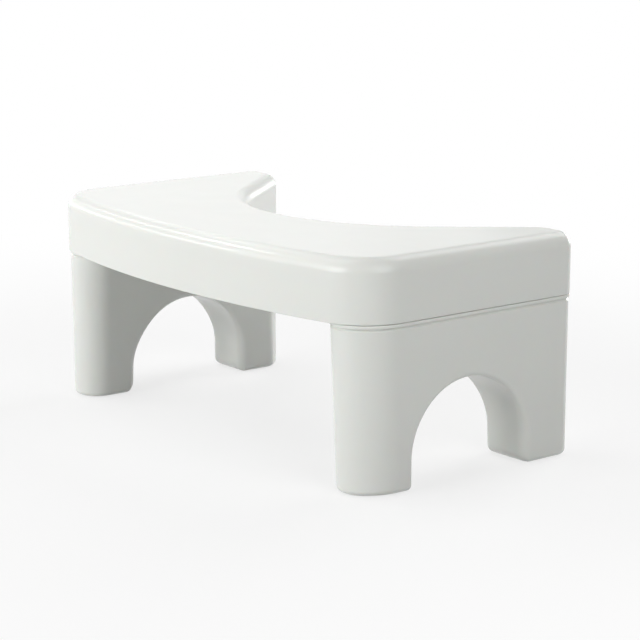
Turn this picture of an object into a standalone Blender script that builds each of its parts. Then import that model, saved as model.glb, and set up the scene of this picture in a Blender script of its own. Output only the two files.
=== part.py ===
"""A low footstool: a crescent top cover on two plug-in arched legs, each leg standing on two rubber pads.

X runs along the stool, -Y is the bowed front, +Y is the hollowed back and Z is up. Lengths are in metres.
"""

import math

import bmesh
import bpy

NAME = "toilet_footstool"

# Whole stool
TOTAL_HEIGHT = 0.170
DEPTH = 0.227
HALF_WIDTH = 0.2012

# Outline of the top cover, seen from above
FRONT_ARC_RADIUS = 0.806
FRONT_CORNER_RADIUS = 0.042
REAR_CORNER_RADIUS = 0.013
LOBE_RADIUS = 0.019
LOBE_FLAT = 0.01153
RECESS_DEPTH = 0.1197
RECESS_SIDE_ANGLE = math.radians(50.4)

# Top cover, one moulding
SKIRT_HEIGHT = 0.0463
TOP_EDGE_RADIUS = 0.0085
COVER_WALL = 0.0032
DECK_THICKNESS = 0.0035
RIB_THICKNESS = 0.0022
RIB_DROP = 0.010
RIB_PITCH = 0.038
CROSS_RIBS_EACH_SIDE = 3
FIRST_RIB_SETBACK = 0.0415
LONG_RIBS = 5

# Legs, each one moulding
LEG_TOP_THICKNESS = 0.0494
LEG_FOOT_THICKNESS = 0.0435
LEG_SETBACK = 0.0008
LEG_WALL = 0.003
FOOT_FLOOR = 0.0045
FOOT_EDGE_RADIUS = 0.004
INNER_FRONT_ROUND_SHARE = 0.442
INNER_REAR_RADIUS = 0.012
RIM_HEIGHT = 0.003
RIM_SETBACK = 0.0002
SPIGOT_HEIGHT = 0.014
SPIGOT_WALL = 0.0025
WEB_THICKNESS = 0.0022
WEB_PITCH = 0.036
WEBS_EACH_SIDE = 2

# Arch through each leg
FRONT_FOOT_LENGTH = 0.071
REAR_FOOT_LENGTH = 0.0498
ARCH_HEIGHT = 0.0752
ARCH_SPRING_HEIGHT = 0.022
ARCH_EDGE_RADIUS = 0.005
LEAST_ROUND_SHARE = 0.05

# Rubber pads, two to a leg
PAD_WIDTH = 0.022
PAD_LENGTH = 0.024
PAD_CORNER_RADIUS = 0.006
PAD_THICKNESS = 0.0025
PAD_PROUD = 0.0008
PAD_SIDE_SETBACK = 0.0219
FRONT_PAD_SETBACK = 0.0495
REAR_PAD_SETBACK = 0.0245

# Clearances, and how far every cut runs past what it cuts
SEAM_GAP = 0.0004
PLUG_GAP = 0.0004
PAD_GAP = 0.0003
CUT_OVERRUN = 0.006

# Steps along curves
FRONT_STEPS = 14
CORNER_STEPS = 10
RECESS_STEPS = 16
EDGE_STEPS = 5
ARCH_STEPS = 24
QUARTER = math.pi / 2
SMOOTH_BELOW = math.radians(35)

SEAM_Z = TOTAL_HEIGHT - SKIRT_HEIGHT
REAR_Y = DEPTH / 2
RECESS_Y = REAR_Y - RECESS_DEPTH
FIRST_LONG_RIB_Y = FIRST_RIB_SETBACK - REAR_Y
ARCH_CENTRE_Y = (FRONT_FOOT_LENGTH - REAR_FOOT_LENGTH) / 2
ARCH_HALF_WIDTH = (DEPTH - FRONT_FOOT_LENGTH - REAR_FOOT_LENGTH) / 2
LEG_OUTER_X = HALF_WIDTH - LEG_SETBACK
LEG_INNER_X = LEG_OUTER_X - LEG_TOP_THICKNESS
PLUG_INSET = COVER_WALL + PLUG_GAP - LEG_SETBACK
SOCKET_WALL_X = LEG_INNER_X + PLUG_INSET - PLUG_GAP - COVER_WALL / 2
PAD_CENTRE_X = LEG_OUTER_X - PAD_SIDE_SETBACK
FRONT_PAD_Y = FRONT_PAD_SETBACK - REAR_Y
REAR_PAD_Y = REAR_Y - REAR_PAD_SETBACK


def start_scene():
    """Empties the scene and makes the two collections."""
    for obj in list(bpy.data.objects):
        bpy.data.objects.remove(obj, do_unlink=True)
    parts = bpy.data.collections.new(NAME)
    cutters = bpy.data.collections.new("cutters")
    for collection in (parts, cutters):
        bpy.context.scene.collection.children.link(collection)
    return parts, cutters


def plastic(name, colour, roughness):
    """A material of one colour."""
    material = bpy.data.materials.new(name)
    material.use_nodes = True
    shader = material.node_tree.nodes["Principled BSDF"]
    shader.inputs["Base Color"].default_value = (*colour, 1)
    shader.inputs["Roughness"].default_value = roughness
    return material


def arc(centre_x, centre_y, radius, first, last, steps, facing=1):
    """Points of an arc, each as x, y and the outward normal. facing is -1 where the outline is hollow."""
    points = []
    for step in range(steps + 1):
        angle = first + (last - first) * step / steps
        across, along = math.cos(angle), math.sin(angle)
        points.append((
            centre_x + radius * across,
            centre_y + radius * along,
            across * facing,
            along * facing,
        ))
    return points


def front_corner():
    """Centre of the front corner's arc, and how far the front edge leans where it meets that arc."""
    centre_x = HALF_WIDTH - FRONT_CORNER_RADIUS
    reach = FRONT_ARC_RADIUS - FRONT_CORNER_RADIUS
    lean = math.asin(centre_x / reach)
    centre_y = FRONT_ARC_RADIUS - REAR_Y - reach * math.cos(lean)
    return centre_x, centre_y, lean


def lobe_centre():
    """Centre of the round between the back edge and the recess's side."""
    return HALF_WIDTH - REAR_CORNER_RADIUS - LOBE_FLAT, REAR_Y - LOBE_RADIUS


def recess_radius():
    """Radius of the recess's round bottom, which turns into a straight side that runs onto the lobe's round."""
    lobe_x, lobe_y = lobe_centre()
    out = lobe_x * math.sin(RECESS_SIDE_ANGLE) - (lobe_y - RECESS_Y) * math.cos(RECESS_SIDE_ANGLE)
    return (out - LOBE_RADIUS) / (1 - math.cos(RECESS_SIDE_ANGLE))


def recess_side():
    """The point where the recess's round bottom turns into its straight side."""
    radius = recess_radius()
    return radius * math.sin(RECESS_SIDE_ANGLE), RECESS_Y + radius * (1 - math.cos(RECESS_SIDE_ANGLE))


def rear_arcs(setback):
    """The rear corner and the lobe's round, moved inward by the setback."""
    corner = arc(
        HALF_WIDTH - REAR_CORNER_RADIUS,
        REAR_Y - REAR_CORNER_RADIUS,
        REAR_CORNER_RADIUS - setback,
        0,
        QUARTER,
        CORNER_STEPS,
    )
    lobe_x, lobe_y = lobe_centre()
    lobe = arc(
        lobe_x,
        lobe_y,
        LOBE_RADIUS - setback,
        QUARTER,
        QUARTER + RECESS_SIDE_ANGLE,
        CORNER_STEPS,
    )
    return corner + lobe


def cover_outline():
    """The top cover's outline, anticlockwise from the middle of the front."""
    corner_x, corner_y, lean = front_corner()
    right = arc(0, FRONT_ARC_RADIUS - REAR_Y, FRONT_ARC_RADIUS, -QUARTER, lean - QUARTER, FRONT_STEPS)
    right += arc(corner_x, corner_y, FRONT_CORNER_RADIUS, lean - QUARTER, 0, CORNER_STEPS)[1:]
    right += rear_arcs(0)
    hollow = arc(
        0,
        RECESS_Y + recess_radius(),
        recess_radius(),
        RECESS_SIDE_ANGLE - QUARTER,
        -QUARTER,
        RECESS_STEPS,
        facing=-1,
    )
    right += hollow
    left = [(-x, y, -across, along) for x, y, across, along in reversed(right[1:-1])]
    return right + left


def leg_inner_x(height):
    """Where the right leg's inner face is at a height: the leg thins downward."""
    taper = (LEG_TOP_THICKNESS - LEG_FOOT_THICKNESS) * (SEAM_Z - height) / SEAM_Z
    return LEG_INNER_X + taper


def leg_outline(height):
    """The right leg's outline at a height above the floor, anticlockwise from its inner face."""
    inner_x = leg_inner_x(height)
    corner_x, corner_y, _ = front_corner()
    radius = FRONT_CORNER_RADIUS - LEG_SETBACK
    small = (LEG_OUTER_X - inner_x) * INNER_FRONT_ROUND_SHARE
    small_x = inner_x + small
    small_y = corner_y - math.sqrt((radius - small) ** 2 - (small_x - corner_x) ** 2)
    meeting = math.atan2(small_y - corner_y, small_x - corner_x)
    side_x, side_y = recess_side()
    inner_rear_x = inner_x + INNER_REAR_RADIUS
    back = (inner_rear_x - side_x) * math.sin(RECESS_SIDE_ANGLE) - LEG_SETBACK - INNER_REAR_RADIUS
    inner_rear_y = side_y + back / math.cos(RECESS_SIDE_ANGLE)
    points = arc(small_x, small_y, small, -2 * QUARTER, meeting, CORNER_STEPS)
    points += arc(corner_x, corner_y, radius, meeting, 0, CORNER_STEPS)[1:]
    points += rear_arcs(LEG_SETBACK)
    points += arc(
        inner_rear_x,
        inner_rear_y,
        INNER_REAR_RADIUS,
        QUARTER + RECESS_SIDE_ANGLE,
        2 * QUARTER,
        CORNER_STEPS,
    )
    return points


def level(outline, inset, height):
    """A ring of points: the outline moved inward by the inset, at a height."""
    return [(x - across * inset, y - along * inset, height) for x, y, across, along in outline]


def solid(name, rings, side=1):
    """A closed mesh through rings of equal length, capped at both ends. side is -1 for a left-hand piece."""
    shape = bmesh.new()
    rows = [[shape.verts.new((x * side, y, z)) for x, y, z in ring] for ring in rings]
    count = len(rows[0])
    for lower, upper in zip(rows, rows[1:]):
        for index in range(count):
            after = (index + 1) % count
            shape.faces.new((lower[index], lower[after], upper[after], upper[index]))
    shape.faces.new(rows[0])
    shape.faces.new(rows[-1])
    bmesh.ops.recalc_face_normals(shape, faces=shape.faces)
    mesh = bpy.data.meshes.new(name)
    shape.to_mesh(mesh)
    shape.free()
    mesh.polygons.foreach_set("use_smooth", [True] * len(mesh.polygons))
    mesh.set_sharp_from_angle(angle=SMOOTH_BELOW)
    return mesh


def block_rings(centre_x, centre_y, width, length, low, high):
    """Two rings of a plain block."""
    corners = [(-width / 2, -length / 2), (width / 2, -length / 2), (width / 2, length / 2), (-width / 2, length / 2)]
    return [[(centre_x + x, centre_y + y, z) for x, y in corners] for z in (low, high)]


def put(mesh, collection, parent=None):
    """Makes an object of a mesh written in the stool's frame, and hangs it on a parent without moving it."""
    obj = bpy.data.objects.new(mesh.name, mesh)
    collection.objects.link(obj)
    if parent:
        obj.parent = parent
        mesh.transform(parent.matrix_basis.inverted())
    return obj


def put_cutter(mesh, collection, parent=None):
    """Makes a helper that only cuts."""
    obj = put(mesh, collection, parent)
    obj.hide_render = True
    obj.display_type = "WIRE"
    return obj


def cut(obj, cutter):
    """Takes the cutter out of the object."""
    modifier = obj.modifiers.new(cutter.name, "BOOLEAN")
    modifier.operation = "DIFFERENCE"
    modifier.solver = "EXACT"
    modifier.object = cutter


def top_cover(parts, cutters, material):
    """The crescent top with its skirt, hollow below and stiffened by ribs."""
    outline = cover_outline()
    rings = [level(outline, 0, SEAM_Z)]
    rings += rounded_edge(outline, TOP_EDGE_RADIUS, 0, TOTAL_HEIGHT)
    cover = put(solid("top_cover", rings), parts)
    cover.data.materials.append(material)
    hollow = cover_hollow(cutters, outline)
    for index, rings in enumerate(rib_blocks()):
        cut(hollow, put_cutter(solid(f"rib_block_{index}", rings), cutters))
    cut(cover, hollow)
    return cover


def rounded_edge(outline, radius, inset, height):
    """Rings of a rounded top edge, from the wall up to the flat."""
    rings = []
    for step in range(EDGE_STEPS + 1):
        angle = QUARTER * step / EDGE_STEPS
        shrink = radius * (1 - math.cos(angle))
        rings.append(level(outline, inset + shrink, height - radius * (1 - math.sin(angle))))
    return rings


def cover_hollow(cutters, outline):
    """The space inside the skirt, below the deck."""
    ceiling = TOTAL_HEIGHT - DECK_THICKNESS
    rings = [level(outline, COVER_WALL, SEAM_Z - CUT_OVERRUN)]
    rings += rounded_edge(outline, TOP_EDGE_RADIUS - COVER_WALL, COVER_WALL, ceiling)
    return put_cutter(solid("cover_hollow", rings), cutters)


def rib_blocks():
    """Blocks that the hollow leaves standing: a grid of ribs and the two socket walls."""
    ceiling = TOTAL_HEIGHT - DECK_THICKNESS
    low = ceiling - RIB_DROP
    high = ceiling + CUT_OVERRUN
    blocks = []
    for index in range(-CROSS_RIBS_EACH_SIDE, CROSS_RIBS_EACH_SIDE + 1):
        blocks.append(block_rings(index * RIB_PITCH, 0, RIB_THICKNESS, DEPTH, low, high))
    for index in range(LONG_RIBS):
        rib_y = FIRST_LONG_RIB_Y + index * RIB_PITCH
        blocks.append(block_rings(0, rib_y, 2 * SOCKET_WALL_X, RIB_THICKNESS, low, high))
    for side in (-1, 1):
        blocks.append(block_rings(side * SOCKET_WALL_X, 0, COVER_WALL, DEPTH, SEAM_Z, high))
    return blocks


def leg(name, side, slide, parts, cutters, material):
    """One leg: a hollow moulding with an arch through it and a spigot that plugs up into the cover."""
    rings = foot_edge_rings()
    rim_low = SEAM_Z - RIM_HEIGHT
    rim_high = SEAM_Z - SEAM_GAP
    neck = leg_outline(SEAM_Z)
    step_out = RIM_SETBACK - LEG_SETBACK
    rings += [
        level(leg_outline(rim_low), 0, rim_low),
        level(neck, step_out, rim_low),
        level(neck, step_out, rim_high),
        level(neck, PLUG_INSET, rim_high),
        level(neck, PLUG_INSET, SEAM_Z + SPIGOT_HEIGHT),
    ]
    body = put(solid(name, rings, side), parts, slide)
    body.data.materials.append(material)
    hollow = leg_hollow(name, side, slide, cutters)
    cut(hollow, arch_wall_cutter(f"{name}_arch_wall", side, slide, cutters))
    for index, rings in enumerate(web_blocks()):
        cut(hollow, put_cutter(solid(f"{name}_web_{index}", rings, side), cutters, slide))
    cut(body, hollow)
    cut(body, arch_cutter(f"{name}_arch", side, slide, cutters))
    return body


def foot_edge_rings():
    """Rings of the rounded edge under a leg, from the sole up to the wall."""
    rings = []
    for step in range(EDGE_STEPS + 1):
        angle = QUARTER * step / EDGE_STEPS
        height = PAD_PROUD + FOOT_EDGE_RADIUS * (1 - math.cos(angle))
        rings.append(level(leg_outline(height), FOOT_EDGE_RADIUS * (1 - math.sin(angle)), height))
    return rings


def leg_hollow(name, side, slide, cutters):
    """The space inside a leg, narrower where it runs up through the spigot."""
    low = PAD_PROUD + FOOT_FLOOR
    shelf = SEAM_Z - RIM_HEIGHT - LEG_WALL
    neck = leg_outline(SEAM_Z)
    inside = PLUG_INSET + SPIGOT_WALL
    rings = [
        level(leg_outline(low), LEG_WALL, low),
        level(leg_outline(shelf), LEG_WALL, shelf),
        level(neck, inside, SEAM_Z - LEG_WALL),
        level(neck, inside, SEAM_Z + SPIGOT_HEIGHT + CUT_OVERRUN),
    ]
    return put_cutter(solid(f"{name}_hollow", rings, side), cutters, slide)


def web_blocks():
    """Blocks that a leg's hollow leaves standing as webs between its outer and inner faces."""
    middle_x = (LEG_INNER_X + LEG_OUTER_X) / 2
    high = SEAM_Z + SPIGOT_HEIGHT
    blocks = []
    for index in range(-WEBS_EACH_SIDE, WEBS_EACH_SIDE + 1):
        web_y = ARCH_CENTRE_Y + index * WEB_PITCH
        blocks.append(block_rings(middle_x, web_y, LEG_TOP_THICKNESS, WEB_THICKNESS, 0, high))
    return blocks


def edge_round():
    """A quarter round as depth and distance shares of its radius, from just past the face to the wall."""
    pairs = []
    for step in range(1, EDGE_STEPS + 1):
        angle = QUARTER * step / EDGE_STEPS
        pairs.append((1 - math.cos(angle), 1 - math.sin(angle)))
    depth, away = pairs[0]
    return [(-depth / 2, 1 + (1 - away) / 2)] + pairs


def arch_profile(growth):
    """Half of the arch from its crown down, as distance from the middle and height, grown into the leg."""
    points = []
    rise = ARCH_HEIGHT - ARCH_SPRING_HEIGHT
    for step in range(ARCH_STEPS // 2 + 1):
        angle = QUARTER * (1 - 2 * step / ARCH_STEPS)
        across, up = math.cos(angle) / ARCH_HALF_WIDTH, math.sin(angle) / rise
        length = math.hypot(across, up)
        points.append((
            ARCH_HALF_WIDTH * math.cos(angle) + growth * across / length,
            ARCH_SPRING_HEIGHT + rise * math.sin(angle) + growth * up / length,
        ))
    radius = max(FOOT_EDGE_RADIUS - growth, FOOT_EDGE_RADIUS * LEAST_ROUND_SHARE)
    for depth, away in reversed(edge_round()):
        points.append((
            ARCH_HALF_WIDTH + FOOT_EDGE_RADIUS - radius * (1 - away),
            PAD_PROUD + FOOT_EDGE_RADIUS - radius * (1 - depth),
        ))
    points.append((points[-1][0], PAD_PROUD - CUT_OVERRUN))
    return points


def arch_ring(face, depth, growth):
    """The whole arch, grown by a distance, at a depth inside the outer (1) or inner (-1) face of the right leg."""
    half = arch_profile(growth)
    ring = []
    for y, z in half[:0:-1] + [(-y, z) for y, z in half]:
        face_x = LEG_OUTER_X if face > 0 else leg_inner_x(z)
        ring.append((face_x - face * depth, ARCH_CENTRE_Y + y, z))
    return ring


def arch_wall_cutter(name, side, slide, cutters):
    """The arch grown by the leg's wall, which the leg's hollow leaves standing round the arch."""
    rings = [arch_ring(face, -CUT_OVERRUN, LEG_WALL) for face in (-1, 1)]
    return put_cutter(solid(name, rings, side), cutters, slide)


def arch_cutter(name, side, slide, cutters):
    """What opens the arch. It widens in a round at each face of the leg."""
    flare = [(depth * ARCH_EDGE_RADIUS, away * ARCH_EDGE_RADIUS) for depth, away in edge_round()]
    flare.insert(0, (-CUT_OVERRUN, flare[0][1]))
    rings = [arch_ring(-1, depth, growth) for depth, growth in flare]
    rings += [arch_ring(1, depth, growth) for depth, growth in reversed(flare)]
    return put_cutter(solid(name, rings, side), cutters, slide)


def pad_rings(centre_y, low, high, gap=0):
    """Rings of a pad with rounded corners, or of the pocket that holds it when a gap is given."""
    radius = PAD_CORNER_RADIUS + gap
    half_x = PAD_WIDTH / 2 - PAD_CORNER_RADIUS
    half_y = PAD_LENGTH / 2 - PAD_CORNER_RADIUS
    outline = []
    for turn, (right, back) in enumerate(((1, -1), (1, 1), (-1, 1), (-1, -1))):
        first = QUARTER * (turn - 1)
        outline += arc(
            PAD_CENTRE_X + right * half_x,
            centre_y + back * half_y,
            radius,
            first,
            first + QUARTER,
            EDGE_STEPS,
        )
    return [level(outline, 0, low), level(outline, 0, high)]


def foot_pad(name, side, centre_y, body, slide, parts, cutters, material):
    """A rubber pad set in a pocket under the foot."""
    pad = put(solid(name, pad_rings(centre_y, 0, PAD_THICKNESS), side), parts, slide)
    pad.data.materials.append(material)
    pocket = pad_rings(centre_y, PAD_PROUD - CUT_OVERRUN, PAD_THICKNESS + PAD_GAP, PAD_GAP)
    cut(body, put_cutter(solid(f"{name}_pocket", pocket, side), cutters, slide))
    return pad


def slide_axis(name, side, parts):
    """The line along which a leg pulls down out of the cover."""
    axis = bpy.data.objects.new(name, None)
    axis.location = (side * (LEG_INNER_X + LEG_OUTER_X) / 2, 0, SEAM_Z)
    axis.empty_display_size = RIM_HEIGHT
    parts.objects.link(axis)
    return axis


def build():
    """Makes the whole stool."""
    parts, cutters = start_scene()
    white = plastic("white_plastic", (0.83, 0.84, 0.82), 0.25)
    rubber = plastic("grey_rubber", (0.32, 0.32, 0.32), 0.8)
    top_cover(parts, cutters, white)
    for hand, side in (("left", -1), ("right", 1)):
        slide = slide_axis(f"{hand}_leg_slide", side, parts)
        body = leg(f"{hand}_leg", side, slide, parts, cutters, white)
        for place, centre_y in (("front", FRONT_PAD_Y), ("rear", REAR_PAD_Y)):
            foot_pad(f"{hand}_{place}_foot_pad", side, centre_y, body, slide, parts, cutters, rubber)


build()
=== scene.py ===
"""The toilet footstool as it looks: a glossy white crescent top on two arched legs with rubber feet.

X runs along the stool, -Y is its bowed front, +Y its hollowed back and Z is up. Lengths are in metres.
"""

from __future__ import annotations

import logging
import math
from collections.abc import Callable, Iterable
from dataclasses import dataclass, field
from enum import Enum
from functools import partial
from typing import Any

import bmesh
import bpy
from mathutils import Matrix, Quaternion, Vector

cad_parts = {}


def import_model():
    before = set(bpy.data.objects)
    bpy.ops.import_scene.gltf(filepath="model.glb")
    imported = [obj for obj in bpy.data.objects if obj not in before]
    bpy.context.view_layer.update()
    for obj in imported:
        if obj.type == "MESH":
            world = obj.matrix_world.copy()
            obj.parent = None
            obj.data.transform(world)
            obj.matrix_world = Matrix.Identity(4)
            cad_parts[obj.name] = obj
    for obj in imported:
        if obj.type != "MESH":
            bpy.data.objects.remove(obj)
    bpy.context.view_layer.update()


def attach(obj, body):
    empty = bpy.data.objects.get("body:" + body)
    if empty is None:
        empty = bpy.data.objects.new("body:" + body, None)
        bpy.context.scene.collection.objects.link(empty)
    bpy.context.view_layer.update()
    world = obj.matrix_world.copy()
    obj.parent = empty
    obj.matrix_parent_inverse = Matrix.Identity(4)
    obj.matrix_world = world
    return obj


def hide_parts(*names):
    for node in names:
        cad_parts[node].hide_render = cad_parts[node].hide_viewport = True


LOG = logging.getLogger("footstool")
QUARTER = math.pi / 2
MILLIMETRE = 0.001
# Vertices nearer than this are one, and those within the next value are at one height.
MERGE_WITHIN = MILLIMETRE / 1000
LEVEL_WITHIN = MILLIMETRE / 100
# How far a cutter runs past what it cuts.
OVERRUN = 0.006
# Edges that bend by more than this are shaded sharp.
SHARP_ABOVE = math.radians(38)
# What draws a closed outline in a bmesh and gives its edges.
Loop = Callable[[bmesh.types.BMesh], list[bmesh.types.BMEdge]]


class Side(Enum):
    """The two ends of the stool. The value is the end's direction along X."""

    LEFT = -1
    RIGHT = 1

    @property
    def word(self) -> str:
        """The side's name as the nodes spell it."""
        return self.name.lower()


class Foot(Enum):
    """The two feet of a leg."""

    FRONT = "front"
    REAR = "rear"


# Mesh helpers


class Pen:
    """Draws an outline in a bmesh from one vertex, extruded along straights and spun along arcs."""

    def __init__(
        self, shape: bmesh.types.BMesh, start: Iterable[float], axis: Iterable[float]
    ) -> None:
        """Sets the pen down.

        Args:
            shape: The bmesh that takes the outline.
            start: Where the outline starts.
            axis: The direction that arcs turn about, which is square to the outline.
        """
        self.shape = shape
        self.axis = Vector(axis)
        self.first = self.last = shape.verts.new(Vector(start))
        self.edges: list[bmesh.types.BMEdge] = []

    def line(self, end: Iterable[float]) -> None:
        """Draws a straight.

        Args:
            end: Where the straight ends.
        """
        made = bmesh.ops.extrude_vert_indiv(self.shape, verts=[self.last])
        self.last = made["verts"][0]
        self.last.co = Vector(end)
        self.edges += made["edges"]

    def turn(self, centre: Iterable[float], angle: float, steps: int) -> None:
        """Draws an arc.

        Args:
            centre: The arc's centre.
            angle: How far it turns, in radians, anticlockwise about the pen's axis.
            steps: How many straight pieces stand for the arc.
        """
        before = set(self.shape.edges)
        made = bmesh.ops.spin(
            self.shape,
            geom=[self.last],
            cent=Vector(centre),
            axis=self.axis,
            angle=angle,
            steps=steps,
            use_merge=False,
            use_duplicate=False,
        )
        self.last = next(item for item in made["geom_last"] if isinstance(item, bmesh.types.BMVert))
        self.edges += [edge for edge in self.shape.edges if edge not in before]

    def close(self) -> list[bmesh.types.BMEdge]:
        """Joins the end of the outline to its start.

        Returns:
            The edges of the closed outline.
        """
        made = bmesh.ops.contextual_create(self.shape, geom=[self.last, self.first])
        self.edges += made["edges"]
        return self.edges


def skin(loops: list[Loop]) -> bmesh.types.BMesh:
    """Joins closed outlines one after another and caps both ends.

    Each band is bridged between two outlines of its own, because a bridge from an outline that
    already has faces can come out twisted. The bands are then merged.

    Args:
        loops: What draws each outline, in order. Each draws a closed outline and gives its edges.

    Returns:
        A bmesh of the closed shape.
    """
    shape = bmesh.new()
    for lower, upper in zip(loops, loops[1:]):
        bmesh.ops.bridge_loops(shape, edges=lower(shape) + upper(shape))
    for loop in (loops[0], loops[-1]):
        bmesh.ops.contextual_create(shape, geom=loop(shape))
    bmesh.ops.remove_doubles(shape, verts=shape.verts, dist=MERGE_WITHIN)
    bmesh.ops.recalc_face_normals(shape, faces=shape.faces)
    return shape


def is_level(edge: bmesh.types.BMEdge) -> bool:
    """Tells whether both ends of an edge are at one height."""
    start, end = edge.verts
    return abs(start.co.z - end.co.z) < LEVEL_WITHIN


def bevel(
    shape: bmesh.types.BMesh, edges: list[bmesh.types.BMEdge], radius: float, flats: int
) -> None:
    """Rounds edges.

    Args:
        shape: The bmesh that has the edges.
        edges: The edges.
        radius: The round's radius.
        flats: How many flats stand for the round.
    """
    circular = 0.5
    bmesh.ops.bevel(
        shape, geom=edges, offset=radius, affect="EDGES", segments=flats, profile=circular, material=-1
    )


def round_edges(shape: bmesh.types.BMesh, height: float, radius: float, flats: int) -> None:
    """Rounds the sharp edges that stand out at one height.

    Args:
        shape: A closed shape.
        height: The edges' height.
        radius: The round's radius.
        flats: How many flats stand for the round.
    """
    level = [
        edge
        for edge in shape.edges
        if all(abs(vert.co.z - height) < LEVEL_WITHIN for vert in edge.verts)
    ]
    sharp = [edge for edge in level if edge.calc_face_angle_signed(0) > QUARTER / 2]
    bevel(shape, sharp, radius, flats)


def smooth_step(share: float) -> float:
    """Eases from 0 to 1 as the share does, and stays there beyond."""
    share = min(max(share, 0.0), 1.0)
    return share * share * (3 - 2 * share)


def round_inset(radius: float, height: float) -> float:
    """How far a rounded bottom edge stands inside its wall, at a height above its lowest point."""
    left = max(radius - max(height, 0.0), 0.0)
    return radius - math.sqrt(radius**2 - left**2)


def box(low: Iterable[float], high: Iterable[float]) -> bmesh.types.BMesh:
    """Makes a block between two corners.

    Args:
        low: The lowest corner.
        high: The highest corner.

    Returns:
        A bmesh of the block.
    """
    low, high = Vector(low), Vector(high)
    shape = bmesh.new()
    bmesh.ops.create_cube(shape, size=1)
    bmesh.ops.scale(shape, vec=high - low, verts=shape.verts)
    bmesh.ops.translate(shape, vec=(low + high) / 2, verts=shape.verts)
    return shape


def mesh_object(name: str, shape: bmesh.types.BMesh) -> bpy.types.Object:
    """Turns a bmesh into an object at the origin and frees it.

    Args:
        name: The object's name.
        shape: The bmesh, in the stool's frame.

    Returns:
        The new object.
    """
    mesh = bpy.data.meshes.new(name)
    shape.to_mesh(mesh)
    shape.free()
    made = bpy.data.objects.new(name, mesh)
    bpy.context.scene.collection.objects.link(made)
    return made


def mirror_to(side: Side, shape: bmesh.types.BMesh) -> bmesh.types.BMesh:
    """Moves a right-hand shape to the side it is for.

    Args:
        side: The side that gets the shape.
        shape: A closed shape modelled on the right.

    Returns:
        The same bmesh.
    """
    if side is Side.LEFT:
        bmesh.ops.scale(shape, vec=(-1, 1, 1), verts=shape.verts)
        bmesh.ops.recalc_face_normals(shape, faces=shape.faces)
    return shape


def carve(body: bpy.types.Object, cutters: list[bpy.types.Object]) -> bpy.types.Object:
    """Cuts shapes out of a body, keeps the result as its mesh and removes the cutters.

    Args:
        body: The object that is cut.
        cutters: Closed mesh objects.

    Returns:
        The body.
    """
    for cutter in cutters:
        cut = body.modifiers.new(cutter.name, "BOOLEAN")
        cut.operation = "DIFFERENCE"
        cut.solver = "EXACT"
        cut.object = cutter
    graph = bpy.context.evaluated_depsgraph_get()
    result = bpy.data.meshes.new_from_object(body.evaluated_get(graph))
    body.modifiers.clear()
    spent = [body.data] + [cutter.data for cutter in cutters]
    body.data = result
    for cutter in cutters:
        bpy.data.objects.remove(cutter)
    for mesh in spent:
        bpy.data.meshes.remove(mesh)
    return body


def smooth(piece: bpy.types.Object) -> None:
    """Shades a piece smooth but for its sharp edges, with the large flat faces kept flat.

    Args:
        piece: The object.
    """
    shape = bmesh.new()
    shape.from_mesh(piece.data)
    bmesh.ops.remove_doubles(shape, verts=shape.verts, dist=2 * MERGE_WITHIN)
    bmesh.ops.dissolve_degenerate(shape, edges=shape.edges, dist=MERGE_WITHIN)
    shape.to_mesh(piece.data)
    shape.free()
    piece.data.shade_smooth()
    piece.data.set_sharp_from_angle(angle=SHARP_ABOVE)
    weighted = piece.modifiers.new("flat faces stay flat", "WEIGHTED_NORMAL")
    weighted.mode = "FACE_AREA"
    # Above the neutral 50, the large faces count for more.
    weighted.weight = 60
    weighted.keep_sharp = True


# Finishes


def linear(colour: str) -> tuple[float, float, float, float]:
    """Turns an sRGB hex colour to linear, by the formula of the sRGB standard.

    Args:
        colour: Six hex digits after a hash.

    Returns:
        Red, green, blue and alpha.
    """
    parts = [int(colour[place : place + 2], 16) / 255 for place in (1, 3, 5)]
    red, green, blue = (
        part / 12.92 if part <= 0.04045 else ((part + 0.055) / 1.055) ** 2.4 for part in parts
    )
    return red, green, blue, 1.0


def feed(tree: bpy.types.NodeTree, node: bpy.types.Node, inputs: dict[str | int, Any]) -> None:
    """Sets or links a node's inputs.

    Args:
        tree: The node tree.
        node: The node.
        inputs: For each input's name or place, a value or the output socket that feeds it.
    """
    for key, value in inputs.items():
        if isinstance(value, bpy.types.NodeSocket):
            tree.links.new(value, node.inputs[key])
        else:
            node.inputs[key].default_value = value


def add_node(
    tree: bpy.types.NodeTree,
    kind: str,
    settings: dict[str, Any] | None = None,
    inputs: dict[str | int, Any] | None = None,
) -> bpy.types.Node:
    """Adds a node with its settings, and sets or links its inputs.

    Args:
        tree: The node tree.
        kind: The node's type name.
        settings: Properties of the node.
        inputs: For each input's name or place, a value or the output socket that feeds it.

    Returns:
        The new node.
    """
    node = tree.nodes.new(kind)
    for key, value in (settings or {}).items():
        setattr(node, key, value)
    feed(tree, node, inputs or {})
    return node


def mix_colours(
    tree: bpy.types.NodeTree, share: bpy.types.NodeSocket, first: str, second: str
) -> bpy.types.NodeSocket:
    """Adds a mix of two colours.

    Args:
        tree: The node tree.
        share: The socket that gives the second colour's share.
        first: The first colour, as six hex digits after a hash.
        second: The second colour, written alike.

    Returns:
        The socket that gives the mixed colour.
    """
    # The places of a Mix node's colour sockets.
    first_input, second_input, output = 6, 7, 2
    colours = {first_input: linear(first), second_input: linear(second)}
    mixer = add_node(tree, "ShaderNodeMix", {"data_type": "RGBA"}, {"Factor": share, **colours})
    return mixer.outputs[output]


def combine(
    tree: bpy.types.NodeTree,
    operation: str,
    first: bpy.types.NodeSocket,
    second: bpy.types.NodeSocket,
) -> bpy.types.NodeSocket:
    """Adds a sum or a product of two sockets.

    Args:
        tree: The node tree.
        operation: "ADD" or "MULTIPLY".
        first: The first socket.
        second: The second socket.

    Returns:
        The socket that gives the result.
    """
    node = add_node(tree, "ShaderNodeMath", {"operation": operation}, {0: first, 1: second})
    return node.outputs["Value"]


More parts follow.
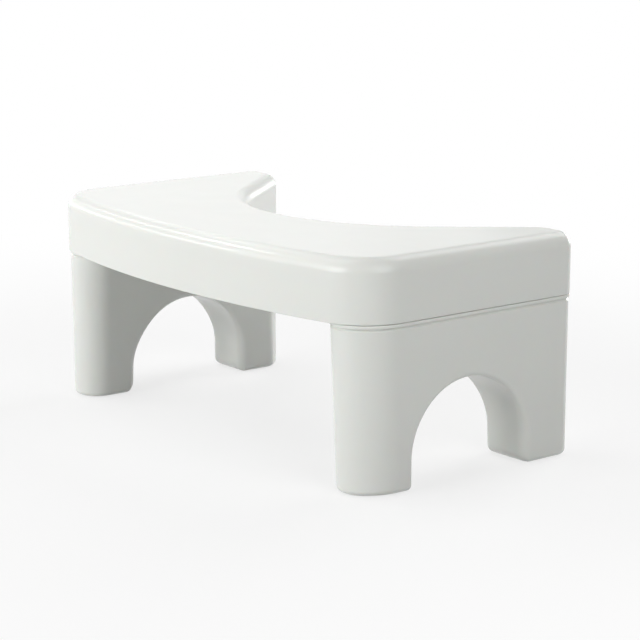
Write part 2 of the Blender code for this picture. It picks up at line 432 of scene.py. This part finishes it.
def new_material(name: str) -> tuple[bpy.types.Material, bpy.types.NodeTree, bpy.types.Node]:
    """Starts a material.

    Args:
        name: The material's name.

    Returns:
        The material, its node tree and its Principled shader.
    """
    material = bpy.data.materials.new(name)
    material.use_nodes = True
    tree = material.node_tree
    return material, tree, tree.nodes["Principled BSDF"]


@dataclass(frozen=True)
class Mottle:
    """Noise in spots of about one size, and how high it stands where it is used as a relief."""

    spot_mm: float
    detail: float
    height_mm: float = 0.0
    strength: float = 0.0

    def noise(
        self, tree: bpy.types.NodeTree, place: bpy.types.NodeSocket
    ) -> bpy.types.NodeSocket:
        """Adds the noise.

        Args:
            tree: The node tree.
            place: The socket that gives the place, in metres.

        Returns:
            The socket that gives the noise, between 0 and 1.
        """
        scale = 1 / MILLIMETRE / self.spot_mm
        inputs = {"Vector": place, "Scale": scale, "Detail": self.detail}
        return add_node(tree, "ShaderNodeTexNoise", inputs=inputs).outputs["Fac"]

    def relief(
        self,
        tree: bpy.types.NodeTree,
        place: bpy.types.NodeSocket,
        over: bpy.types.NodeSocket | None = None,
    ) -> bpy.types.NodeSocket:
        """Adds the noise as a bump.

        Args:
            tree: The node tree.
            place: The socket that gives the place, in metres.
            over: The socket that gives the normal it is added to, if that is not the surface's own.

        Returns:
            The socket that gives the normal.
        """
        inputs = {
            "Strength": self.strength,
            "Distance": self.height_mm * MILLIMETRE,
            "Height": self.noise(tree, place),
        }
        if over is not None:
            inputs["Normal"] = over
        return add_node(tree, "ShaderNodeBump", inputs=inputs).outputs["Normal"]


@dataclass(frozen=True)
class MouldedPolypropylene:
    """Polypropylene injection moulded in a polished tool: glossy, waxy, very slightly wavy."""

    name: str = "moulded_polypropylene_glossy_white"
    colour: str = "#edefea"
    thin_colour: str = "#ebede8"
    ior: float = 1.49
    roughness: float = 0.26
    roughness_spread: float = 0.012
    # The noise seldom leaves this band, and over it the roughness goes through its whole spread.
    rub_low: float = 0.3
    rub_high: float = 0.7
    scatter_share: float = 0.08
    scatter_mm: float = 2.0
    tone: Mottle = Mottle(90.0, 2.0)
    rub: Mottle = Mottle(34.0, 5.0)
    # Real orange peel is about 1 mm across. It is drawn at 2 mm, or it would not show.
    peel: Mottle = Mottle(2.2, 2.0, height_mm=0.002, strength=0.5)
    waves: Mottle = Mottle(34.0, 0.0, height_mm=0.006, strength=0.6)

    def material(self) -> bpy.types.Material:
        """Builds the material.

        Returns:
            The material.
        """
        material, tree, shader = new_material(self.name)
        place = add_node(tree, "ShaderNodeTexCoord").outputs["Object"]
        # The gloss is uneven by about a hundredth, as polished steel leaves it.
        gloss = add_node(
            tree,
            "ShaderNodeMapRange",
            inputs={
                "Value": self.rub.noise(tree, place),
                "From Min": self.rub_low,
                "From Max": self.rub_high,
                "To Min": self.roughness - self.roughness_spread,
                "To Max": self.roughness + self.roughness_spread,
            },
        )
        # The colour drifts a little, as it does with the wall's thickness.
        drift = self.tone.noise(tree, place)
        inputs = {
            "Base Color": mix_colours(tree, drift, self.colour, self.thin_colour),
            "Roughness": gloss.outputs["Result"],
            "Normal": self.waves.relief(tree, place, self.peel.relief(tree, place)),
            "IOR": self.ior,
            "Subsurface Weight": self.scatter_share,
            "Subsurface Scale": self.scatter_mm * MILLIMETRE,
        }
        feed(tree, shader, inputs)
        return material


@dataclass(frozen=True)
class MouldedRubber:
    """Thermoplastic rubber moulded in a blasted tool: matt mid grey with a fine grain."""

    name: str = "moulded_rubber_matt_grey"
    colour: str = "#8b8b8a"
    dusty_colour: str = "#979694"
    ior: float = 1.52
    roughness: float = 0.72
    dust: Mottle = Mottle(7.0, 4.0)
    grain: Mottle = Mottle(0.6, 3.0, height_mm=0.02, strength=0.7)

    def material(self) -> bpy.types.Material:
        """Builds the material.

        Returns:
            The material.
        """
        material, tree, shader = new_material(self.name)
        place = add_node(tree, "ShaderNodeTexCoord").outputs["Object"]
        # Floor dust pales the rubber in patches.
        dusty = self.dust.noise(tree, place)
        inputs = {
            "Base Color": mix_colours(tree, dusty, self.colour, self.dusty_colour),
            "Roughness": self.roughness,
            "Normal": self.grain.relief(tree, place),
            "IOR": self.ior,
        }
        feed(tree, shader, inputs)
        return material


def coat(piece: bpy.types.Object, material: bpy.types.Material) -> None:
    """Gives a piece its only material."""
    piece.data.materials.clear()
    piece.data.materials.append(material)


# The stool


@dataclass(frozen=True)
class Plan:
    """The stool seen from above: its sizes, and the outlines of the cover and of a leg."""

    depth: float = 0.227
    half_width: float = 0.2012
    front_arc: float = 0.806
    front_corner: float = 0.042
    rear_corner: float = 0.013
    lobe: float = 0.019
    lobe_flat: float = 0.01153
    recess_depth: float = 0.1197
    recess_angle: float = math.radians(50.4)
    inner_front_share: float = 0.442
    inner_rear: float = 0.012
    small_arc_steps: int = 16
    large_arc_steps: int = 32

    @property
    def rear_y(self) -> float:
        """Where the stool's back edge is."""
        return self.depth / 2

    @property
    def corner_centre(self) -> Vector:
        """Centre of the front corner's arc on the right."""
        centre_x = self.half_width - self.front_corner
        reach = self.front_arc - self.front_corner
        return Vector((centre_x, self.front_arc - self.rear_y - math.sqrt(reach**2 - centre_x**2)))

    @property
    def lean(self) -> float:
        """How far the front edge leans where it meets the corner, in radians."""
        return math.asin(
            (self.half_width - self.front_corner) / (self.front_arc - self.front_corner)
        )

    @property
    def lobe_centre(self) -> Vector:
        """Centre of the round between the back edge and the recess's side."""
        return Vector((self.half_width - self.rear_corner - self.lobe_flat, self.rear_y - self.lobe))

    @property
    def recess_radius(self) -> float:
        """Radius of the recess's round bottom, whose straight side runs onto the lobe's round."""
        lobe = self.lobe_centre
        sine, cosine = math.sin(self.recess_angle), math.cos(self.recess_angle)
        deepest = self.rear_y - self.recess_depth
        return (lobe.x * sine - (lobe.y - deepest) * cosine - self.lobe) / (1 - cosine)

    def draw_rear(self, pen: Pen, inset: float, height: float) -> None:
        """Draws the rear corner and the lobe's round, from the end of the side.

        Args:
            pen: The pen, somewhere along the side.
            inset: How far inside the cover's outline the line runs.
            height: The outline's height.
        """
        corner_x, corner_y = self.half_width - self.rear_corner, self.rear_y - self.rear_corner
        pen.line((self.half_width - inset, corner_y, height))
        pen.turn((corner_x, corner_y, height), QUARTER, self.small_arc_steps)
        lobe = self.lobe_centre
        pen.line((lobe.x, self.rear_y - inset, height))
        pen.turn((lobe.x, lobe.y, height), self.recess_angle, self.small_arc_steps)

    def draw_cover(
        self, inset: float, height: float, shape: bmesh.types.BMesh
    ) -> list[bmesh.types.BMEdge]:
        """Draws the cover's outline.

        Args:
            inset: How far inside the outline the line runs.
            height: The outline's height.
            shape: The bmesh that takes it.

        Returns:
            The closed outline's edges.
        """
        pen = Pen(shape, (0, inset - self.rear_y, height), (0, 0, 1))
        pen.turn((0, self.front_arc - self.rear_y, height), self.lean, self.large_arc_steps)
        corner = self.corner_centre
        pen.turn((corner.x, corner.y, height), QUARTER - self.lean, self.large_arc_steps)
        self.draw_rear(pen, inset, height)
        centre_y = self.rear_y - self.recess_depth + self.recess_radius
        reach = self.recess_radius + inset
        side_x = reach * math.sin(self.recess_angle)
        pen.line((side_x, centre_y - reach * math.cos(self.recess_angle), height))
        pen.turn((0, centre_y, height), -self.recess_angle, self.large_arc_steps)
        for end in (pen.first, pen.last):
            end.co.x = 0
        verts = list(dict.fromkeys(vert for edge in pen.edges for vert in edge.verts))
        made = bmesh.ops.mirror(shape, geom=verts + pen.edges, axis="X", merge_dist=-1)
        verts += [item for item in made["geom"] if isinstance(item, bmesh.types.BMVert)]
        bmesh.ops.remove_doubles(shape, verts=verts, dist=MERGE_WITHIN)
        kept = [vert for vert in verts if vert.is_valid]
        return list(dict.fromkeys(edge for vert in kept for edge in vert.link_edges))

    def draw_leg(
        self, inner_x: float, setback: float, inset: float, height: float, shape: bmesh.types.BMesh
    ) -> list[bmesh.types.BMEdge]:
        """Draws the right leg's outline.

        Args:
            inner_x: Where the leg's inner face is at this height.
            setback: How far the leg stands inside the cover's outline.
            inset: How far inside the leg's own outline the line runs.
            height: The outline's height.
            shape: The bmesh that takes it.

        Returns:
            The closed outline's edges.
        """
        corner = self.corner_centre
        radius = self.front_corner - setback
        small = (self.half_width - setback - inner_x) * self.inner_front_share
        small_x = inner_x + small
        small_y = corner.y - math.sqrt((radius - small) ** 2 - (small_x - corner.x) ** 2)
        meeting = math.atan2(small_y - corner.y, small_x - corner.x)
        pen = Pen(shape, (inner_x + inset, small_y, height), (0, 0, 1))
        pen.turn((small_x, small_y, height), meeting + 2 * QUARTER, self.small_arc_steps)
        pen.turn((corner.x, corner.y, height), -meeting, self.large_arc_steps)
        self.draw_rear(pen, setback + inset, height)
        sine, cosine = math.sin(self.recess_angle), math.cos(self.recess_angle)
        side = Vector((sine, 1 - cosine)) * self.recess_radius
        side.y += self.rear_y - self.recess_depth
        rear_x = inner_x + self.inner_rear
        back = (rear_x - side.x) * sine - setback - self.inner_rear
        rear_y = side.y + back / cosine
        start = QUARTER + self.recess_angle
        reach = self.inner_rear - inset
        pen.line((rear_x + reach * math.cos(start), rear_y + reach * math.sin(start), height))
        pen.turn((rear_x, rear_y, height), QUARTER - self.recess_angle, self.small_arc_steps)
        return pen.close()


@dataclass
class TopCover:
    """The crescent top with its skirt, one moulding, hollow and ribbed underneath."""

    plan: Plan = field(default_factory=Plan)
    height: float = 0.170
    skirt: float = 0.0463
    top_round: float = 0.0105
    bottom_round: float = 0.0006
    wall: float = 0.0032
    deck: float = 0.0035
    # The ribs under the deck, and the walls that close the legs' sockets.
    rib: float = 0.0022
    rib_drop: float = 0.010
    rib_pitch: float = 0.038
    cross_ribs_each_side: int = 3
    first_rib_setback: float = 0.0415
    long_ribs: int = 5
    socket_x: float = 0.1518
    # How many flats stand for each round.
    top_flats: int = 12
    bottom_flats: int = 3
    ceiling_flats: int = 5

    @property
    def seam(self) -> float:
        """Height of the skirt's lower edge."""
        return self.height - self.skirt

    def shell(self) -> bpy.types.Object:
        """Builds the outside: a prism with a rounded top edge.

        Returns:
            The solid cover.
        """
        heights = (self.seam, self.height)
        shape = skin([partial(self.plan.draw_cover, 0, height) for height in heights])
        round_edges(shape, self.height, self.top_round, self.top_flats)
        round_edges(shape, self.seam, self.bottom_round, self.bottom_flats)
        return mesh_object("top_cover_looks", shape)

    def hollow(self) -> bpy.types.Object:
        """Builds the space inside the skirt, with the ribs and the socket walls left out of it.

        Returns:
            The cutter.
        """
        ceiling = self.height - self.deck
        heights = (self.seam - OVERRUN, ceiling)
        shape = skin([partial(self.plan.draw_cover, self.wall, height) for height in heights])
        round_edges(shape, ceiling, self.top_round - self.wall, self.ceiling_flats)
        hollow = mesh_object("cover_hollow", shape)
        half_rib, half_wall, depth = self.rib / 2, self.wall / 2, self.plan.depth / 2
        low, high = ceiling - self.rib_drop, ceiling + OVERRUN
        blocks = []
        for index in range(-self.cross_ribs_each_side, self.cross_ribs_each_side + 1):
            middle = index * self.rib_pitch
            blocks.append(box((middle - half_rib, -depth, low), (middle + half_rib, depth, high)))
        for index in range(self.long_ribs):
            middle = self.first_rib_setback - depth + index * self.rib_pitch
            start = (-self.socket_x, middle - half_rib, low)
            blocks.append(box(start, (self.socket_x, middle + half_rib, high)))
        for side in Side:
            middle = side.value * self.socket_x
            start = (middle - half_wall, -depth, self.seam)
            blocks.append(box(start, (middle + half_wall, depth, high)))
        cutters = [mesh_object(f"rib_block_{place}", block) for place, block in enumerate(blocks)]
        return carve(hollow, cutters)

    def build(self) -> bpy.types.Object:
        """Builds the cover.

        Returns:
            The piece, which replaces its node.
        """
        piece = carve(self.shell(), [self.hollow()])
        smooth(piece)
        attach(piece, "top")
        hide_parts("top_cover")
        return piece

    def dress(self, piece: bpy.types.Object, plastic: bpy.types.Material) -> None:
        """Gives the cover its finish."""
        coat(piece, plastic)


@dataclass
class Leg:
    """One leg: a tapered, hollow moulding with an arch through it and a spigot for the cover."""

    side: Side
    seam: float
    plan: Plan = field(default_factory=Plan)
    top_thickness: float = 0.0494
    foot_thickness: float = 0.0435
    setback: float = 0.0008
    wall: float = 0.003
    sole: float = 0.0045
    foot_round: float = 0.004
    pad_proud: float = 0.0008
    # The rim that meets the skirt, and the groove under it.
    rim_height: float = 0.0030
    rim_setback: float = 0.0002
    rim_round: float = 0.0006
    groove_height: float = 0.0020
    groove_depth: float = 0.0018
    seam_gap: float = 0.0004
    # The spigot, and the webs across the hollow leg.
    plug_inset: float = 0.0028
    spigot_height: float = 0.014
    spigot_wall: float = 0.0025
    spigot_chamfer: float = 0.0006
    web: float = 0.0022
    web_pitch: float = 0.036
    webs_each_side: int = 2
    # The arch, with its own round at each corner of the feet beside it.
    front_foot: float = 0.071
    rear_foot: float = 0.0498
    arch_height: float = 0.0752
    arch_round: float = 0.0038
    outer_front_round: float = 0.0042
    outer_rear_round: float = 0.0078
    inner_front_round: float = 0.0088
    inner_rear_round: float = 0.007
    corner_top: float = 0.060
    sole_crossing_share: float = 0.01
    # How many flats stand for each round.
    foot_flats: int = 8
    rim_flats: int = 3
    chamfer_flats: int = 2
    arch_steps: int = 56
    arch_round_steps: int = 8
    sole_round_steps: int = 9

    @property
    def outer_x(self) -> float:
        """Where the right leg's outer face is."""
        return self.plan.half_width - self.setback

    def inner_x(self, height: float) -> float:
        """Where the right leg's inner face is at a height: the leg thins downward."""
        taper = (self.top_thickness - self.foot_thickness) * (self.seam - height) / self.seam
        return self.outer_x - self.top_thickness + taper

    @property
    def arch_y(self) -> float:
        """Middle of the arch."""
        return (self.front_foot - self.rear_foot) / 2

    @property
    def arch_half_width(self) -> float:
        """Half the arch's width, and the radius of its round head."""
        return (self.plan.depth - self.front_foot - self.rear_foot) / 2

    def outline(self, inset: float, height: float, shaped_at: float | None = None) -> Loop:
        """Readies the leg's outline at a height.

        Args:
            inset: How far inside the leg's wall the line runs.
            height: The outline's height.
            shaped_at: The height whose taper it has, if that is another.

        Returns:
            What draws the outline.
        """
        inner_x = self.inner_x(height if shaped_at is None else shaped_at)
        return partial(self.plan.draw_leg, inner_x, self.setback, inset, height)

    def block(self) -> bpy.types.Object:
        """Builds the leg's outside with its rim and its spigot.

        Returns:
            The solid leg.
        """
        rim_low, rim_high = self.seam - self.rim_height, self.seam - self.seam_gap
        top = self.seam + self.spigot_height
        step_out = self.rim_setback - self.setback
        shape = skin(
            [
                self.outline(0, self.pad_proud),
                self.outline(0, rim_low - self.groove_height),
                self.outline(self.groove_depth, rim_low),
                self.outline(step_out, rim_low, self.seam),
                self.outline(step_out, rim_high, self.seam),
                self.outline(self.plug_inset, rim_high, self.seam),
                self.outline(self.plug_inset, top, self.seam),
            ]
        )
        round_edges(shape, self.pad_proud, self.foot_round, self.foot_flats)
        round_edges(shape, rim_low, self.rim_round, self.rim_flats)
        round_edges(shape, rim_high, self.rim_round, self.rim_flats)
        round_edges(shape, top, self.spigot_chamfer, self.chamfer_flats)
        return mesh_object(f"{self.side.word}_leg_looks", mirror_to(self.side, shape))

    def draw_arch(
        self, depth: float | None, growth: float, wall: float, inner: bool, shape: bmesh.types.BMesh
    ) -> list[bmesh.types.BMEdge]:
        """Draws the arch at one step of the round between its wall and a face of the leg.

        The round is larger towards the feet, where the arch's wall and the leg's face also round
        under the sole. Each foot has its own round at each face of the leg.

        Args:
            depth: How far inside the face the line lies, as a share of the round, or None to be
                clear of the leg.
            growth: How far outside the arch it runs, as a share of the round.
            wall: How much further outside the arch it runs.
            inner: True for the leg's inner face.
            shape: The bmesh that takes it.

        Returns:
            The closed outline's edges.
        """
        reach, spring = self.arch_half_width, self.arch_height - self.arch_half_width
        front_round = self.inner_front_round if inner else self.outer_front_round
        rear_round = self.inner_rear_round if inner else self.outer_rear_round
        # The sole's round starts a hair low, so that it crosses the sole and doesn't only touch it.
        steps, tallest = self.sole_round_steps, max(front_round, rear_round)
        low = self.pad_proud - tallest * self.sole_crossing_share
        rises = [1 - math.cos(QUARTER * step / steps) for step in range(steps + 1)]
        heights = [low + tallest * rise for rise in rises]
        pen = Pen(shape, (0, reach, low - OVERRUN), (1, 0, 0))
        for height in heights:
            pen.line((0, reach, height))
        pen.line((0, reach, spring))
        pen.turn((0, 0, spring), 2 * QUARTER, self.arch_steps)
        for height in reversed(heights):
            pen.line((0, -reach, height))
        pen.line((0, -reach, low - OVERRUN))
        edges = pen.close()
        for vert in {vert for edge in edges for vert in edge.verts}:
            height = vert.co.z
            away = Vector((0, vert.co.y, max(height - spring, 0))).normalized()
            foot = smooth_step((self.corner_top - height) / (self.corner_top - spring))
            front = smooth_step(0.5 - vert.co.y / reach / 2)
            corner = rear_round + (front_round - rear_round) * front
            radius = self.arch_round + (corner - self.arch_round) * foot
            wall_inset = round_inset(corner, height - low)
            face_inset = round_inset(self.foot_round, height - self.pad_proud)
            vert.co += away * (wall_inset + (radius - wall_inset) * growth + wall)
            vert.co.y += self.arch_y
            inside = -OVERRUN if depth is None else face_inset + (radius - face_inset) * depth
            vert.co.x = self.inner_x(height) + inside if inner else self.outer_x - inside
        return edges

    def arch(self) -> bpy.types.Object:
        """Builds what opens the arch, which widens in a round at each face of the leg.

        Returns:
            The cutter.
        """
        steps = self.arch_round_steps
        angles = [QUARTER * step / steps for step in range(1, steps + 1)]
        pairs = [(1 - math.cos(angle), 1 - math.sin(angle)) for angle in angles]
        # Two more steps carry the round on through the face and clear of the leg.
        depth, away = pairs[0]
        beyond = 1 + (1 - away) / 2
        pairs = [(None, beyond), (-depth / 2, beyond)] + pairs
        loops = [partial(self.draw_arch, *pair, 0, True) for pair in pairs]
        loops += [partial(self.draw_arch, *pair, 0, False) for pair in reversed(pairs)]
        return mesh_object("arch", mirror_to(self.side, skin(loops)))

    def hollow(self) -> bpy.types.Object:
        """Builds the space inside the leg, with the arch's wall and the webs left out of it.

        Returns:
            The cutter.
        """
        low, shelf = self.pad_proud + self.sole, self.seam - self.rim_height - self.wall
        top = self.seam + self.spigot_height
        inside = self.plug_inset + self.spigot_wall
        shape = skin(
            [
                self.outline(self.wall, low),
                self.outline(self.wall, shelf),
                self.outline(inside, self.seam - self.wall, self.seam),
                self.outline(inside, top + OVERRUN, self.seam),
            ]
        )
        hollow = mesh_object("leg_hollow", mirror_to(self.side, shape))
        faces = [partial(self.draw_arch, None, 0, self.wall, inner) for inner in (True, False)]
        cutters = [mesh_object("arch_wall", mirror_to(self.side, skin(faces)))]
        for index in range(-self.webs_each_side, self.webs_each_side + 1):
            middle = self.arch_y + index * self.web_pitch
            low_corner = (self.inner_x(self.seam), middle - self.web / 2, 0)
            web = box(low_corner, (self.outer_x, middle + self.web / 2, top))
            cutters.append(mesh_object(f"web_{index}", mirror_to(self.side, web)))
        return carve(hollow, cutters)

    def build(self, pockets: list[bpy.types.Object]) -> bpy.types.Object:
        """Builds the leg.

        Args:
            pockets: The cutters that leave room for the pads.

        Returns:
            The piece, which replaces its node.
        """
        piece = carve(self.block(), [self.hollow(), self.arch(), *pockets])
        smooth(piece)
        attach(piece, f"{self.side.word}_leg_set")
        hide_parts(f"{self.side.word}_leg")
        return piece

    def dress(self, piece: bpy.types.Object, plastic: bpy.types.Material) -> None:
        """Gives the leg its finish."""
        coat(piece, plastic)


@dataclass
class FootPad:
    """A rubber pad set in a pocket under a foot, with grooves across its tread."""

    side: Side
    foot: Foot
    plan: Plan = field(default_factory=Plan)
    width: float = 0.022
    length: float = 0.024
    corner: float = 0.006
    thickness: float = 0.0025
    edge_round: float = 0.0004
    gap: float = 0.0003
    centre_x: float = 0.1785
    front_setback: float = 0.0495
    rear_setback: float = 0.0245
    groove: float = 0.0012
    groove_depth: float = 0.0005
    groove_pitch: float = 0.004
    grooves_each_side: int = 2
    # How many flats stand for each round.
    corner_flats: int = 10
    edge_flats: int = 3

    @property
    def centre_y(self) -> float:
        """Where the pad's middle is along Y."""
        if self.foot is Foot.FRONT:
            return self.front_setback - self.plan.rear_y
        return self.plan.rear_y - self.rear_setback

    def puck(self, low: float, high: float, gap: float) -> bmesh.types.BMesh:
        """Builds a block with round corners.

        Args:
            low: Height of its underside.
            high: Height of its top.
            gap: How much larger than the pad it is, all round.

        Returns:
            A bmesh of the block.
        """
        half_x, half_y = self.width / 2 + gap, self.length / 2 + gap
        low_corner = (self.centre_x - half_x, self.centre_y - half_y, low)
        shape = box(low_corner, (self.centre_x + half_x, self.centre_y + half_y, high))
        upright = [edge for edge in shape.edges if not is_level(edge)]
        bevel(shape, upright, self.corner + gap, self.corner_flats)
        return shape

    def pocket(self) -> bpy.types.Object:
        """Builds the room that the leg leaves for the pad, as a cutter."""
        shape = self.puck(-OVERRUN, self.thickness + self.gap, self.gap)
        return mesh_object("pad_pocket", mirror_to(self.side, shape))

    def build(self) -> bpy.types.Object:
        """Builds the pad.

        Returns:
            The piece, which replaces its node.
        """
        name = f"{self.side.word}_{self.foot.value}_foot_pad"
        shape = self.puck(0, self.thickness, 0)
        rims = [edge for edge in shape.edges if is_level(edge)]
        bevel(shape, rims, self.edge_round, self.edge_flats)
        piece = mesh_object(f"{name}_looks", mirror_to(self.side, shape))
        cutters = []
        for index in range(-self.grooves_each_side, self.grooves_each_side + 1):
            middle = self.centre_y + index * self.groove_pitch
            low_corner = (self.centre_x - self.width, middle - self.groove / 2, -OVERRUN)
            high_corner = (self.centre_x + self.width, middle + self.groove / 2, self.groove_depth)
            groove = mirror_to(self.side, box(low_corner, high_corner))
            cutters.append(mesh_object(f"groove_{index}", groove))
        carve(piece, cutters)
        smooth(piece)
        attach(piece, f"{self.side.word}_leg_set")
        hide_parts(name)
        return piece

    def dress(self, piece: bpy.types.Object, rubber: bpy.types.Material) -> None:
        """Gives the pad its finish."""
        coat(piece, rubber)


# The studio


@dataclass(frozen=True)
class Softbox:
    """A rectangular lamp that hangs round the stool and looks at its middle.

    Its bearing turns from +X towards +Y, its elevation up and its roll in its own plane, in degrees.
    """

    name: str
    bearing: float
    elevation: float
    watts: float
    width: float = 0.9
    height: float = 0.9
    roll: float = 0.0
    distance: float = 1.6
    aim: tuple[float, float, float] = (0.0, 0.0, 0.1)

    def hang(self) -> None:
        """Makes the lamp."""
        light = bpy.data.lights.new(self.name, "AREA")
        light.shape = "RECTANGLE"
        light.size, light.size_y = self.width, self.height
        light.energy = self.watts
        lamp = bpy.data.objects.new(self.name, light)
        bearing, elevation = math.radians(self.bearing), math.radians(self.elevation)
        level = math.cos(elevation)
        away = Vector((level * math.cos(bearing), level * math.sin(bearing), math.sin(elevation)))
        lamp.location = Vector(self.aim) + away * self.distance
        turn = away.to_track_quat("Z", "Y") @ Quaternion((0, 0, 1), math.radians(self.roll))
        lamp.rotation_euler = turn.to_euler()
        lamp.visible_camera = False
        bpy.context.scene.collection.objects.link(lamp)


@dataclass
class Studio:
    """A pale floor, a white surround, soft lamps and the camera."""

    floor_half: float = 6.0
    floor_colour: str = "#fbfbfb"
    bounce_colour: str = "#c4c4c4"
    floor_roughness: float = 0.9
    floor_specular: float = 0.1
    glow: float = 0.7
    white_from: float = 0.3
    white_by: float = 0.9
    lamps: tuple[Softbox, ...] = (
        Softbox("front", -90, 14, 12.6),
        Softbox("back", 98, 8, 9.8, 0.9, 0.4),
        Softbox("right", -5, 22, 3.0, 0.6, 0.6, distance=1.1),
        Softbox("back_high", 90, 45, 5.7),
        Softbox("front_left_top", -135, 70, 3.7),
        Softbox("right_high", 0, 45, 2.5),
        Softbox("front_left", -118, 14, 2.1, 0.5, 0.9),
        Softbox("left", 180, 8, 0.9, 0.9, 0.3),
        # These four are reflected in the deck, and light the start of the round at its front.
        Softbox("deck_low", 146, 12, 0.35, 0.8, 0.3),
        Softbox("deck_high", 150, 23, 0.4, 0.6, 0.3),
        Softbox("edge_low", 163, 32, 0.6, 0.5, 0.5),
        Softbox("edge_high", 180, 46, 1.5, 0.5, 0.35),
        # Narrow ones draw the thin bright lines along that round.
        Softbox("deck_line", 157, 27, 0.17, 0.4, 0.06),
        Softbox("upper_line", -162, 33, 1.2, 0.8, 0.06, 40),
        Softbox("upper_line_end", -146, 38, 2.3, 0.55, 0.06, 5),
        Softbox("lower_line", -150, 12, 1.1, 0.9, 0.06, 10),
        Softbox("lower_line_end", -135, 15, 1.15, 0.3, 0.06),
    )
    camera_place: tuple[float, float, float] = (1.2701, -0.9586, 0.4345)
    camera_right: tuple[float, float, float] = (0.61405, 0.78926, 0.0)
    camera_up: tuple[float, float, float] = (-0.17001, 0.13227, 0.97651)
    lens_mm: float = 116.85
    sensor_mm: float = 36.0

    def lay_floor(self) -> None:
        """Makes the floor, which is white to the camera and keeps a faint shadow of the stool."""
        shape = bmesh.new()
        bmesh.ops.create_grid(shape, x_segments=1, y_segments=1, size=self.floor_half)
        floor = mesh_object("floor", shape)
        material, tree, shader = new_material("matt_white_paper")
        rays = add_node(tree, "ShaderNodeLightPath").outputs
        camera_ray, glossy_ray = rays["Is Camera Ray"], rays["Is Glossy Ray"]
        # The camera sees white paper, but the stool gets no more light from it than from pale grey.
        paper = mix_colours(tree, camera_ray, self.bounce_colour, self.floor_colour)
        feed(
            tree,
            shader,
            {
                "Base Color": paper,
                "Roughness": self.floor_roughness,
                "Specular IOR Level": self.floor_specular,
            },
        )
        # Part of its white is its own glow, which softens the shadow, and far off it is all glow.
        place = add_node(tree, "ShaderNodeTexCoord").outputs["Object"]
        reach = add_node(tree, "ShaderNodeVectorMath", {"operation": "LENGTH"}, {0: place})
        far = add_node(
            tree,
            "ShaderNodeMapRange",
            {"interpolation_type": "SMOOTHSTEP"},
            {
                "Value": reach.outputs["Value"],
                "From Min": self.white_from,
                "From Max": self.white_by,
                "To Min": self.glow,
                "To Max": 1.0,
            },
        )
        seen = combine(tree, "MULTIPLY", camera_ray, far.outputs["Result"])
        share = combine(tree, "ADD", glossy_ray, seen)
        light = {"Color": (1, 1, 1, 1), "Strength": 1.0}
        white = add_node(tree, "ShaderNodeEmission", inputs=light).outputs["Emission"]
        blend = {0: share, 1: shader.outputs["BSDF"], 2: white}
        surface = add_node(tree, "ShaderNodeMixShader", inputs=blend).outputs["Shader"]
        feed(tree, tree.nodes["Material Output"], {"Surface": surface})
        floor.data.materials.append(material)

    def surround(self) -> None:
        """Makes the world: white to the camera and in reflections, and no light on anything else."""
        world = bpy.data.worlds.new("white_surround")
        world.use_nodes = True
        bpy.context.scene.world = world
        tree = world.node_tree
        rays = add_node(tree, "ShaderNodeLightPath").outputs
        level = combine(tree, "ADD", rays["Is Glossy Ray"], rays["Is Camera Ray"])
        feed(tree, tree.nodes["Background"], {"Color": (1, 1, 1, 1), "Strength": level})

    def set_camera(self) -> None:
        """Makes the camera at the photograph's angle."""
        data = bpy.data.cameras.new("camera")
        data.lens, data.sensor_width = self.lens_mm, self.sensor_mm
        camera = bpy.data.objects.new("camera", data)
        right, up = Vector(self.camera_right), Vector(self.camera_up)
        turn = Matrix((right, up, right.cross(up))).transposed()
        camera.matrix_world = Matrix.Translation(self.camera_place) @ turn.to_4x4()
        bpy.context.scene.collection.objects.link(camera)
        bpy.context.scene.camera = camera

    def build(self) -> None:
        """Makes the whole studio."""
        bpy.context.scene.view_settings.view_transform = "Standard"
        self.lay_floor()
        self.surround()
        for lamp in self.lamps:
            lamp.hang()
        self.set_camera()


def report(piece: bpy.types.Object) -> None:
    """Logs a piece's name and how many faces it has."""
    LOG.info("%s: %d faces", piece.name, len(piece.data.polygons))


def main() -> None:
    """Builds the stool around its frame, then the studio."""
    logging.basicConfig(level=logging.INFO, format="%(message)s")
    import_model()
    plastic = MouldedPolypropylene().material()
    rubber = MouldedRubber().material()
    cover = TopCover()
    piece = cover.build()
    cover.dress(piece, plastic)
    report(piece)
    for side in Side:
        pads = [FootPad(side, foot) for foot in Foot]
        leg = Leg(side, cover.seam)
        piece = leg.build([pad.pocket() for pad in pads])
        leg.dress(piece, plastic)
        report(piece)
        for pad in pads:
            piece = pad.build()
            pad.dress(piece, rubber)
            report(piece)
    Studio().build()


if __name__ == "__main__":
    main()
